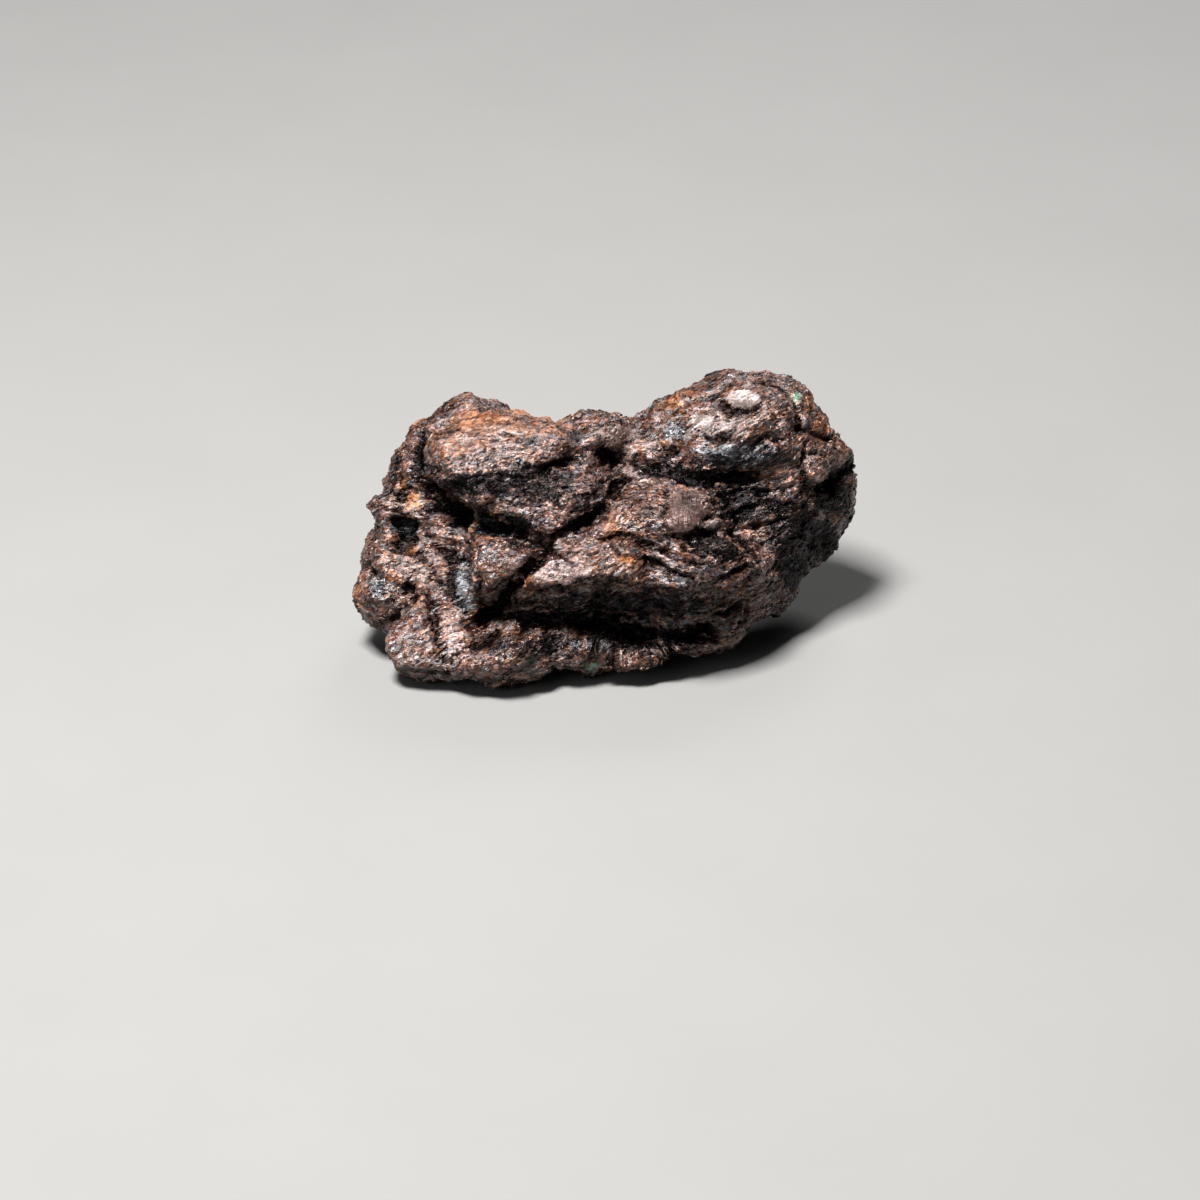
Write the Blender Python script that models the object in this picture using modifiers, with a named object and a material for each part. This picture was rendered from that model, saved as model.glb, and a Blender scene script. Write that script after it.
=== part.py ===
"""A pallasite meteorite fragment: one natural lump of weathered iron with olivine grains grown into it.

The frame is in metres with +Z up. The origin is on the surface that the lump rests on, under the middle of
its length and depth. +X runs along its length and the broken face with the two lobes looks towards -Y.
Sizes below are in millimetres and are turned into metres when a mesh is written.
"""

import math
from typing import NamedTuple

import bmesh
import bpy
import numpy as np
from mathutils import Euler, Matrix, Vector, noise

MM = 0.001
NAME = "pallasite_meteorite"

# Driving dimensions: the whole lump's length along X, and how finely its skin is made.
LENGTH = 40.0
SKIN_CELL = 0.42
EASE_STEPS = 6
TRIANGLES = 9400

# The broken face is drawn as seen along a line that comes down at this angle to the resting surface.
# A place on the drawing is (right, up) in that sight plane, from the point above the origin.
SIGHT_DOWN = math.radians(28.0)
TO_EYE = np.array((0.0, -math.cos(SIGHT_DOWN), math.sin(SIGHT_DOWN)))
SIGHT_UP = np.array((0.0, math.sin(SIGHT_DOWN), math.cos(SIGHT_DOWN)))


class Lump(NamedTuple):
    """An ellipsoid of the mass: its middle, its half axes and its turn about X, Y and Z in degrees."""

    name: str
    middle: tuple
    radii: tuple
    turn: tuple = (0.0, 0.0, 0.0)


class Facet(NamedTuple):
    """A flat break: a point on its plane, the way it faces, and how far around the point it reaches."""

    name: str
    point: tuple
    facing: tuple
    reach: float


class Stroke(NamedTuple):
    """A crease or a ledge along a line of the drawing.

    The crease is cut `depth` deep over `width`. The side to the left of the line's direction stands `step`
    proud of the other side, and the step dies away over `fade`.
    """

    name: str
    line: tuple
    width: float
    depth: float
    step: float = 0.0
    fade: float = 2.0


class Grain(NamedTuple):
    """A crystal that stands out of the face with a flat front, or a pit where `height` is negative."""

    name: str
    place: tuple
    radii: tuple
    height: float
    turn: float = 0.0


LUMPS = (
    Lump("core", (0.0, 1.0, 8.2), (15.5, 9.5, 7.2), (0, 0, 6)),
    Lump("left_lobe", (-7.7, 2.4, 14.3), (7.2, 5.0, 3.8)),
    Lump("left_lobe_inner", (-3.2, 3.9, 13.8), (6.4, 4.4, 3.6)),
    Lump("lobe_bridge", (-2.6, 4.7, 14.2), (5.4, 3.6, 3.4)),
    Lump("lobe_apron", (-4.6, 1.4, 11.4), (5.6, 4.4, 3.6), (0, 14, 0)),
    Lump("back_left_bump", (-10.2, 8.7, 12.9), (5.6, 4.0, 3.8)),
    Lump("left_flank", (-13.4, 4.6, 9.6), (4.3, 6.0, 6.0)),
    Lump("left_knob", (-17.4, 1.6, 10.9), (1.5, 1.6, 1.5)),
    Lump("left_cheek", (-16.2, 1.0, 7.4), (2.8, 4.2, 3.6)),
    Lump("left_end", (-16.9, -1.0, 4.6), (3.1, 3.6, 2.9)),
    Lump("front_left_block", (-14.0, -6.3, 3.2), (3.3, 3.3, 2.7), (45, 0, 0)),
    Lump("left_slab", (-12.2, -3.2, 5.4), (5.0, 5.2, 2.6), (36, 0, 0)),
    Lump("left_plates", (-8.0, -2.6, 5.3), (4.2, 3.3, 3.2)),
    Lump("gully_foot", (-7.3, -3.5, 4.4), (3.6, 3.1, 3.0)),
    Lump("block_foot", (-11.4, -6.3, 3.0), (3.6, 3.4, 2.9), (30, 0, 0)),
    Lump("front_tip", (-8.6, -6.7, 3.2), (4.7, 3.6, 3.1)),
    Lump("middle_block", (1.0, -3.3, 6.2), (8.6, 4.3, 3.5)),
    Lump("lower_lip", (0.3, -5.4, 3.1), (8.2, 3.5, 2.6)),
    Lump("lip_right", (6.3, -3.4, 3.1), (4.9, 3.5, 2.6)),
    Lump("right_lobe", (10.6, 6.9, 14.8), (6.4, 5.7, 5.2)),
    Lump("right_lobe_left", (6.4, 7.2, 13.6), (4.2, 4.4, 4.6)),
    Lump("right_shoulder_top", (14.7, 7.2, 12.5), (3.6, 4.4, 4.5)),
    Lump("right_shoulder", (12.6, 3.4, 9.4), (5.4, 5.4, 5.4)),
    Lump("right_end", (16.9, 7.2, 11.2), (3.2, 3.1, 3.1)),
    Lump("right_cheek", (15.6, 5.8, 7.8), (3.5, 4.4, 4.2)),
    Lump("right_base", (8.8, -0.2, 5.4), (5.2, 4.6, 3.5)),
    Lump("right_heel", (12.0, 2.0, 5.1), (3.7, 4.4, 3.6)),
    Lump("saddle", (2.4, 4.8, 12.6), (5.0, 4.4, 3.8)),
    Lump("saddle_right", (3.8, 5.4, 13.4), (3.6, 3.8, 3.1)),
    Lump("back_middle", (-4.2, 7.6, 10.8), (7.8, 4.6, 4.8)),
    Lump("belly", (-0.4, 2.0, 3.3), (9.6, 6.4, 4.9)),
)

FACETS = (
    Facet("right_flank", (16.0, 1.5, 7.2), (0.80, -0.60, -0.06), 8.0),
    Facet("right_under", (13.9, 0.6, 3.0), (0.62, -0.50, -0.60), 4.0),
    Facet("left_block_face", (-14.6, -7.2, 4.4), (-0.24, -0.68, 0.70), 3.8),
    Facet("left_slope", (-13.0, -2.6, 8.6), (-0.20, -0.72, 0.66), 5.0),
    Facet("front_plate", (-10.6, -6.9, 5.0), (0.10, -0.70, 0.70), 4.0),
    Facet("ledge_top", (-2.4, -5.4, 8.6), (0.05, -0.58, 0.81), 3.6),
    Facet("front_wall", (1.0, -6.5, 6.0), (0.04, -0.98, -0.18), 4.4),
    Facet("lobe_front", (-7.0, -0.5, 16.3), (0.0, -0.62, 0.78), 5.0),
    Facet("lobe_end", (-14.6, 1.2, 14.2), (-0.80, -0.42, 0.42), 3.0),
    Facet("right_top", (8.6, 4.0, 17.6), (-0.30, -0.52, 0.80), 4.6),
    Facet("right_front", (11.4, -0.4, 10.4), (0.10, -0.86, 0.50), 4.6),
    Facet("back_slope", (-3.0, 10.0, 12.6), (-0.10, 0.62, 0.78), 6.0),
    Facet("back_wall", (4.0, 10.0, 7.0), (0.10, 0.98, 0.05), 6.0),
    Facet("back_left_wall", (-11.0, 11.4, 9.6), (-0.35, 0.93, -0.05), 5.0),
    Facet("back_under", (2.0, 8.4, 3.4), (0.0, 0.72, -0.69), 6.0),
    Facet("back_right", (14.0, 11.4, 12.0), (0.50, 0.82, 0.26), 6.0),
)

STROKES = (
    Stroke("lobe_underside", ((-14.4, 12.1), (-12.8, 10.8), (-10.8, 9.9), (-8.4, 9.1), (-6.1, 8.2), (-4.5, 7.2)),
           0.9, 1.1, 0.6, 2.4),
    Stroke("right_lobe_undercut", ((0.6, 14.4), (3.0, 13.9), (4.8, 13.7), (6.8, 12.8), (10.8, 12.6), (14.6, 12.6)),
           1.0, 1.0, 0.45, 2.4),
    Stroke("gully", ((1.2, 12.8), (0.4, 11.4), (-0.5, 10.1), (-2.1, 8.9), (-3.7, 8.0), (-4.9, 6.8), (-7.2, 4.2), (-9.9, 1.4)),
           0.65, 1.1, -0.3, 1.8),
    Stroke("ledge_edge", ((-5.9, 3.9), (-4.4, 3.8), (-2.4, 4.3), (0.0, 4.8), (3.4, 4.1), (5.8, 3.8), (8.6, 4.1)),
           0.5, 0.0, 1.3, 2.0),
    Stroke("lip_groove", ((-6.8, 1.6), (-3.6, 1.5), (0.0, 1.3), (2.8, 0.7), (5.8, 0.4), (8.4, 1.0)),
           0.8, 1.0, 0.2, 1.6),
    Stroke("lobe_end_line", ((-14.8, 15.6), (-14.9, 13.2), (-14.0, 11.8), (-12.6, 10.8)), 0.7, 0.7, -0.3, 1.6),
    Stroke("vee_groove", ((-14.0, 3.1), (-13.2, 1.0), (-12.4, -1.2)), 0.5, 0.4, 0.0, 1.2),
    Stroke("block_crack", ((-17.0, 1.5), (-15.6, 2.6), (-14.0, 2.7)), 0.5, 0.2, 0.0, 1.6),
    Stroke("knob_crease", ((14.8, 16.2), (16.4, 15.8), (17.6, 15.6)), 0.5, 0.5, 0.2, 1.2),
    Stroke("knob_under", ((14.9, 12.0), (16.4, 11.8), (18.4, 13.6), (19.6, 13.6)), 0.7, 0.8, 0.6, 1.4),
    Stroke("front_step", ((-9.8, 1.5), (-7.9, 1.7), (-6.6, 1.2), (-7.4, -0.4), (-9.4, -1.6)), 0.6, 0.4, -0.3, 1.4),
    Stroke("grain_shadow", ((4.8, 7.8), (6.4, 7.7), (7.4, 8.6), (8.2, 9.4)), 0.6, 0.4, 0.2, 1.4),
    Stroke("mid_step", ((0.2, 8.2), (3.6, 8.0), (5.4, 7.0), (7.2, 6.2)), 0.6, 0.3, 0.4, 1.8),
)

GRAINS = (
    Grain("round_grain", (6.15, 9.9), (1.7, 2.15), 0.75, -8.0),
    Grain("pale_grain", (10.7, 18.7), (1.5, 0.8), 0.35, 0.0),
    Grain("pebble_facet", (2.1, 13.0), (1.1, 0.65), 0.6, -10.0),
    Grain("white_flakes", (8.3, 16.6), (1.7, 0.9), 0.35, 20.0),
    Grain("end_knob_grain", (16.7, 13.4), (1.7, 1.5), 0.4, 0.0),
    Grain("brown_grain", (-9.5, 11.0), (0.75, 0.6), 0.55, 0.0),
    Grain("left_steel_knob", (-17.8, 4.4), (1.2, 1.7), 0.35, 25.0),
    Grain("rusty_pit", (-15.6, 11.2), (0.65, 0.5), -0.6, 0.0),
    Grain("red_pit", (-15.4, 3.8), (0.6, 0.45), -0.35, 0.0),
    Grain("steel_hollow", (-15.6, 8.9), (0.8, 0.6), -0.3, 0.0),
    Grain("dark_hollow", (-9.3, 9.0), (2.8, 0.9), -0.45, -6.0),
)

# Broken flats all over the lump: how many, how wide, how far under the skin they cut and how they lean.
CHIPS = 140
CHIP_REACH = (2.0, 4.4)
CHIP_BITE = 0.18
CHIP_LEAN = 0.2
CHIP_SEED = 11

# The share of a flat break's reach over which it eases into the skin around it.
FLAT_RIM = 0.35

# Unevenness of the skin: the size of a swelling and its height, from coarse to fine.
SWELLS = ((6.0, 0.45), (2.6, 0.34), (1.3, 0.2))


def clear_scene():
    """Removes what the startup scene holds."""
    for obj in list(bpy.data.objects):
        bpy.data.objects.remove(obj)


def lump_cloud(collection):
    """The ellipsoids as one object of overlapping spheres."""
    cloud = bmesh.new()
    for lump in LUMPS:
        turn = Euler([math.radians(a) for a in lump.turn]).to_matrix().to_4x4()
        place = Matrix.Translation(Vector(lump.middle) * MM) @ turn @ Matrix.Diagonal((*lump.radii, 1.0))
        bmesh.ops.create_icosphere(cloud, subdivisions=4, radius=MM, matrix=place)
    mesh = bpy.data.meshes.new(NAME)
    cloud.to_mesh(mesh)
    cloud.free()
    obj = bpy.data.objects.new(NAME, mesh)
    collection.objects.link(obj)
    return obj


def baked(obj):
    """Replaces an object's mesh with what its modifiers make of it, and clears them."""
    bpy.context.view_layer.update()
    shape = obj.evaluated_get(bpy.context.evaluated_depsgraph_get())
    mesh = bpy.data.meshes.new_from_object(shape)
    obj.modifiers.clear()
    obj.data = mesh


def fuse(obj):
    """Joins the spheres into one skin of even squares and eases the valleys between them."""
    skin = obj.modifiers.new("Skin", "REMESH")
    skin.mode = "VOXEL"
    skin.voxel_size = SKIN_CELL * MM
    ease = obj.modifiers.new("Ease", "SMOOTH")
    ease.factor = 0.5
    ease.iterations = EASE_STEPS
    baked(obj)


def places_of(mesh):
    """The vertices' places in millimetres."""
    flat = np.empty(len(mesh.vertices) * 3, dtype=np.float32)
    mesh.vertices.foreach_get("co", flat)
    return flat.reshape(-1, 3).astype(float) / MM


def normals_of(mesh):
    """The vertices' outward directions."""
    flat = np.empty(len(mesh.vertices) * 3, dtype=np.float32)
    mesh.vertex_normals.foreach_get("vector", flat)
    return flat.reshape(-1, 3).astype(float)


def move_to(mesh, places):
    """Puts the vertices at places given in millimetres."""
    mesh.vertices.foreach_set("co", (places * MM).astype(np.float32).ravel())
    mesh.update()


def smooth_step(value):
    """0 below 0, 1 above 1, and an even ease between."""
    held = np.clip(value, 0.0, 1.0)
    return held * held * (3.0 - 2.0 * held)


def pressed_flat(places, point, facing, reach):
    """Places beyond a plane are pressed back to it, fully near the point and not at all past the reach."""
    facing = np.array(facing) / np.linalg.norm(facing)
    away = places - np.array(point)
    beyond = np.maximum(away @ facing, 0.0)
    hold = smooth_step((1.0 - np.linalg.norm(away, axis=1) / reach) / FLAT_RIM)
    return places - np.outer(beyond * hold, facing)


def cut_facets(mesh):
    """Presses the named breaks flat."""
    places = places_of(mesh)
    for facet in FACETS:
        places = pressed_flat(places, facet.point, facet.facing, facet.reach)
    move_to(mesh, places)


def all_round(count):
    """Directions spread evenly over a sphere, on a spiral that turns by the golden angle."""
    step = np.arange(count)
    height = 1.0 - (2.0 * step + 1.0) / count
    angle = step * math.pi * (3.0 - math.sqrt(5.0))
    ring = np.sqrt(1.0 - height * height)
    return np.column_stack((ring * np.cos(angle), ring * np.sin(angle), height))


def cut_chips(mesh):
    """Presses small flats all over, each leaning by an amount drawn with a fixed seed."""
    draw = np.random.default_rng(CHIP_SEED)
    places = places_of(mesh)
    normals = normals_of(mesh)
    rays = places - places.mean(axis=0)
    rays /= np.linalg.norm(rays, axis=1)[:, None]
    for ray in all_round(CHIPS):
        lean = draw.normal(0.0, CHIP_LEAN, 3)
        reach = draw.uniform(*CHIP_REACH)
        index = np.argmax(rays @ ray)
        point = places[index] - normals[index] * CHIP_BITE
        places = pressed_flat(places, point, normals[index] + lean, reach)
    move_to(mesh, places)


def beside_line(spots, line):
    """How far spots of the drawing are from a line, and on which side: +1 to its left, -1 to its right."""
    nearest = np.full(len(spots), np.inf)
    side = np.zeros(len(spots))
    for start, end in zip(np.array(line[:-1]), np.array(line[1:])):
        run = end - start
        out = spots - start
        along = np.clip(out @ run / (run @ run), 0.0, 1.0)
        gap = out - along[:, None] * run
        away = np.hypot(gap[:, 0], gap[:, 1])
        closer = away < nearest
        nearest = np.where(closer, away, nearest)
        side = np.where(closer, np.sign(run[0] * gap[:, 1] - run[1] * gap[:, 0]), side)
    return nearest, side


def draw_face(mesh):
    """Cuts the creases and ledges of the broken face and raises its grains, along the skin's normals."""
    places = places_of(mesh)
    normals = normals_of(mesh)
    towards = smooth_step((normals @ TO_EYE) / 0.35)
    spots = np.column_stack((places[:, 0], places @ SIGHT_UP))
    raised = np.zeros(len(places))
    crease = np.zeros(len(places))
    for stroke in STROKES:
        away, side = beside_line(spots, stroke.line)
        crease = np.maximum(crease, stroke.depth * np.exp(-((away / stroke.width) ** 2)))
        raised += 0.5 * stroke.step * side * smooth_step(away / 0.4) * np.exp(-away / stroke.fade)
    for grain in GRAINS:
        turn = math.radians(grain.turn)
        out = spots - np.array(grain.place)
        along = (out[:, 0] * math.cos(turn) + out[:, 1] * math.sin(turn)) / grain.radii[0]
        across = (out[:, 1] * math.cos(turn) - out[:, 0] * math.sin(turn)) / grain.radii[1]
        raised += grain.height * smooth_step(2.5 * (1.25 - np.hypot(along, across)))
    move_to(mesh, places + normals * ((raised - crease) * towards)[:, None])


def roughen(mesh):
    """Adds swellings of several sizes along the skin's normals."""
    places = places_of(mesh)
    normals = normals_of(mesh)
    raised = np.zeros(len(places))
    for size, height in SWELLS:
        raised += [height * noise.noise(Vector(place / size)) for place in places]
    move_to(mesh, places + normals * raised[:, None])


def thin_out(obj):
    """Brings the skin down to the wanted number of triangles, which leaves flat breaks with few of them."""
    thin = obj.modifiers.new("Thin", "DECIMATE")
    obj.data.calc_loop_triangles()
    thin.ratio = TRIANGLES / len(obj.data.loop_triangles)
    baked(obj)


def fit_to_frame(mesh):
    """Brings the lump to its length, with the origin under the middle of its length and depth."""
    places = places_of(mesh)
    low = places.min(axis=0)
    high = places.max(axis=0)
    middle = (low + high) / 2.0
    middle[2] = 0.0
    move_to(mesh, (places - middle) * LENGTH / (high[0] - low[0]))


def floor_block(collection):
    """The block that cuts the resting flat at the height of the floor."""
    bpy.ops.mesh.primitive_cube_add(size=1.0)
    block = bpy.context.active_object
    block.name = "floor_cut"
    block.scale = (0.1, 0.1, 0.02)
    block.location = (0.0, 0.0, -0.01)
    for holder in list(block.users_collection):
        holder.objects.unlink(block)
    collection.objects.link(block)
    block.hide_render = True
    block.display_type = "WIRE"
    return block


def cut_seat(obj, block):
    """Cuts the flat spot that the lump rests on."""
    seat = obj.modifiers.new("Seat", "BOOLEAN")
    seat.operation = "DIFFERENCE"
    seat.solver = "EXACT"
    seat.object = block


def weathered_iron():
    """Dark brown iron, half glossy."""
    material = bpy.data.materials.new("weathered_iron")
    material.use_nodes = True
    shader = material.node_tree.nodes["Principled BSDF"]
    shader.inputs["Base Color"].default_value = (0.11, 0.062, 0.048, 1.0)
    shader.inputs["Roughness"].default_value = 0.42
    shader.inputs["Metallic"].default_value = 0.45
    return material


def main():
    """Builds the lump."""
    clear_scene()
    stone = bpy.data.collections.new("pallasite_meteorite")
    cutters = bpy.data.collections.new("cutters")
    bpy.context.scene.collection.children.link(stone)
    bpy.context.scene.collection.children.link(cutters)
    lump = lump_cloud(stone)
    fuse(lump)
    cut_facets(lump.data)
    cut_chips(lump.data)
    draw_face(lump.data)
    roughen(lump.data)
    lump.data.materials.append(weathered_iron())
    thin_out(lump)
    fit_to_frame(lump.data)
    cut_seat(lump, floor_block(cutters))


main()
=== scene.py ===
"""Looks of a pallasite meteorite fragment: hackly weathered iron with olivine grains, on a pale floor.

Sizes are in millimetres of the stone and become metres where a mesh is written. The broken face is drawn as
the photograph shows it: a drawn point is a pixel of the 1200 x 1200 photograph, which SightPlane turns into
millimetres to the right and up in a plane that faces the photograph's camera.
"""

import logging
import math
from dataclasses import dataclass
from enum import Enum

import bmesh
import bpy
import numpy as np
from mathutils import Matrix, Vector


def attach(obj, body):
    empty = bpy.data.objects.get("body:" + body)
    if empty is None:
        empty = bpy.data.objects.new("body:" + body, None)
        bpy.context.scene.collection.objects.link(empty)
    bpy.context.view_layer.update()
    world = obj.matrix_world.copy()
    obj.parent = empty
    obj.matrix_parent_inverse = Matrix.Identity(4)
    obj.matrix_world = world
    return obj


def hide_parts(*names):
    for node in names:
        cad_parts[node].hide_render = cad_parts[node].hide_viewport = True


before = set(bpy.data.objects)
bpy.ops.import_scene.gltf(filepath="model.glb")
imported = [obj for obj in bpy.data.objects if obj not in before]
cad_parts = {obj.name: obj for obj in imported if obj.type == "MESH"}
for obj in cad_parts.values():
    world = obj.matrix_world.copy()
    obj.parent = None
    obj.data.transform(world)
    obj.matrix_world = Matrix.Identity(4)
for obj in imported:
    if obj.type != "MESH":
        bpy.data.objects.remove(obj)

MM = 0.001
BODY = "root"
STONE_NODE = "pallasite_meteorite"

Array = np.ndarray
Point2 = tuple[float, float]
Point3 = tuple[float, float, float]
Colour = tuple[float, float, float]

log = logging.getLogger("meteorite")


@dataclass(frozen=True)
class SightPlane:
    """The plane of the photograph: millimetres to a pixel, the pixel over the origin, and how steeply it looks down."""

    scale: float = 0.0792
    over_origin: Point2 = (606.5, 633.0)
    down: float = math.radians(28.0)

    @property
    def to_eye(self) -> Array:
        """The direction from the stone to the camera."""
        return np.array((0.0, -math.cos(self.down), math.sin(self.down)))

    @property
    def up(self) -> Array:
        """The direction in the stone's frame that is up in the photograph."""
        return np.array((0.0, math.sin(self.down), math.cos(self.down)))

    def spot(self, pixel: Point2) -> Array:
        """A pixel as millimetres to the right and up."""
        right = (pixel[0] - self.over_origin[0]) * self.scale
        return np.array((right, (self.over_origin[1] - pixel[1]) * self.scale))

    def line(self, pixels: tuple[Point2, ...]) -> Array:
        """Pixels along a line as millimetres to the right and up."""
        return np.array([self.spot(pixel) for pixel in pixels])

    def spots(self, places: Array) -> Array:
        """Places in the stone's frame as millimetres to the right and up."""
        return np.column_stack((places[:, 0], places @ self.up))


SIGHT = SightPlane()


def eased(value: Array) -> Array:
    """Eases from 0 to 1: three times the square less twice the cube of the value held between 0 and 1."""
    held = np.clip(value, 0.0, 1.0)
    return held * held * (3.0 - 2.0 * held)


def unit(vectors: Array) -> Array:
    """Each row divided by its own length."""
    return vectors / np.linalg.norm(vectors, axis=1)[:, None]


def scrambled(cells: Array, salt: int) -> Array:
    """A fixed pseudo-random number from 0 to 1 for each cell of a lattice.

    The three whole numbers are multiplied by large primes, crossed with each other and with the salt, and the
    bits are then folded over and multiplied twice.

    Args:
        cells: whole numbers, three to a row.
        salt: tells one set of numbers from another.

    Returns:
        One number for each row.
    """
    wide = cells.astype(np.int64).astype(np.uint32)
    bits = wide[:, 0] * np.uint32(73856093)
    bits ^= wide[:, 1] * np.uint32(19349663)
    bits ^= wide[:, 2] * np.uint32(83492791)
    bits ^= np.uint32((salt * 2654435761) % 2**32)
    bits ^= bits >> np.uint32(16)
    bits *= np.uint32(0x7FEB352D)
    bits ^= bits >> np.uint32(15)
    bits *= np.uint32(0x846CA68B)
    bits ^= bits >> np.uint32(16)
    return bits / 2.0**32


def scrambled_vectors(cells: Array, salt: int) -> Array:
    """Three numbers from -1 to 1 for each cell."""
    return np.column_stack([2.0 * scrambled(cells, salt * 3 + axis) - 1.0 for axis in range(3)])


CORNERS = tuple((x, y, z) for x in (0, 1) for y in (0, 1) for z in (0, 1))
NEIGHBOURS = tuple((x, y, z) for x in (-1, 0, 1) for y in (-1, 0, 1) for z in (-1, 0, 1))


def swell(points: Array, salt: int) -> Array:
    """Smooth noise from about -1 to 1 with swellings one unit across.

    At each corner of a point's cell a fixed slope is multiplied by the way from the corner, and the eight
    products are blended by an eased share along each axis.

    Args:
        points: three numbers to a row.
        salt: tells one noise from another.

    Returns:
        The height at each point.
    """
    cells = np.floor(points).astype(np.int64)
    part = points - cells
    blend = part**3 * (part * (part * 6.0 - 15.0) + 10.0)
    total = np.zeros(len(points))
    for corner in CORNERS:
        step = np.array(corner)
        slope = scrambled_vectors(cells + step, salt)
        weight = np.prod(np.where(step == 1, blend, 1.0 - blend), axis=1)
        total += weight * np.sum(slope * (part - step), axis=1)
    return 1.6 * total


def swells(points: Array, salt: int, octaves: int = 3) -> Array:
    """Smooth noise at several sizes, each half as large and half as high as the last."""
    return sum(swell(points * 2.0**k, salt + k) * 0.5**k for k in range(octaves))


@dataclass(frozen=True)
class Cells:
    """What cell noise says at each point: a leaning flat, the way to the cell's rim, and the cell's own number."""

    flat: Array
    rim: Array
    number: Array


def flakes(points: Array, salt: int, lean: float) -> Cells:
    """Cell noise with a leaning flat to each cell, one unit across.

    Each cell of a lattice holds a seed at a fixed random place. A point belongs to its nearest seed. The flat
    is the seed's own random height plus a random slope times the way from the seed, and the rim is how much
    further the second nearest seed is.

    Args:
        points: three numbers to a row.
        salt: tells one noise from another.
        lean: how steep the flats may be.

    Returns:
        The three measures at each point.
    """
    home = np.floor(points).astype(np.int64)
    first = np.full(len(points), np.inf)
    second = np.full(len(points), np.inf)
    owner = np.zeros_like(home)
    way = np.zeros_like(points)
    for neighbour in NEIGHBOURS:
        cell = home + np.array(neighbour)
        seed = cell + 0.5 + 0.45 * scrambled_vectors(cell, salt)
        out = points - seed
        far = np.linalg.norm(out, axis=1)
        closer = far < first
        second = np.where(closer, first, np.minimum(second, far))
        first = np.where(closer, far, first)
        owner = np.where(closer[:, None], cell, owner)
        way = np.where(closer[:, None], out, way)
    number = scrambled(owner, salt + 101)
    slope = scrambled_vectors(owner, salt + 202) * lean
    return Cells(number - 0.5 + np.sum(slope * way, axis=1), second - first, number)


@dataclass(frozen=True)
class Stroke:
    """A crease, a crack or a ledge along a drawn line.

    The crease is `depth` deep over `width`. The side to the left of the line's direction stands `step` proud of
    the other, and the step dies away over `fade`.
    """

    name: str
    line: tuple[Point2, ...]
    width: float
    depth: float
    step: float = 0.0
    fade: float = 1.6


@dataclass(frozen=True)
class Boss:
    """A drawn oval that stands out with a flat front, or is sunk where `height` is negative. Its radii are pixels.

    Where `calm` is more than 0, that share of the hackly break is smoothed away on it, as on a crystal's face.
    """

    name: str
    middle: Point2
    radii: Point2
    height: float
    turn: float = 0.0
    calm: float = 0.0


class Tone(Enum):
    """The kinds of surface that patches of the skin have, with painted shade and painted light among them; the value is
    the attribute that holds the mask.
    """

    RUST = "rust"
    STEEL = "steel"
    # Drawn patches of this tone are mostly painted light on lit faces and painted sheen, and partly the iron's own pale
    # tone; on the undrawn sides they are random pale mottles.
    LIT_AND_PALE = "pale"
    # Drawn patches of this tone are painted shade, put where shade falls under the lobes, on the front wall and on the
    # right flank; on the undrawn sides they are random darker mottles.
    DARK = "shade_and_dark_mottle"
    OCHRE = "ochre"
    GREEN = "green"
    GRAIN = "grain"
    CRYSTAL = "crystal"


@dataclass(frozen=True)
class Mottle:
    """Patches of one tone on the sides that aren't drawn: their size in millimetres and how high the noise is cut."""

    size: float
    level: float
    strength: float
    salt: int


MOTTLES = {
    Tone.RUST: Mottle(3.2, 0.12, 0.8, 601),
    Tone.OCHRE: Mottle(1.8, 0.62, 0.9, 611),
    Tone.STEEL: Mottle(2.6, 0.34, 0.8, 621),
    Tone.LIT_AND_PALE: Mottle(2.2, 0.40, 0.5, 631),
    Tone.DARK: Mottle(3.6, 0.22, 0.8, 641),
}


@dataclass(frozen=True)
class Patch:
    """A drawn oval of one tone. Its radii are pixels, its turn is in degrees, and it is broken up by noise."""

    tone: Tone
    middle: Point2
    radii: Point2
    strength: float = 1.0
    turn: float = 0.0


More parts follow.
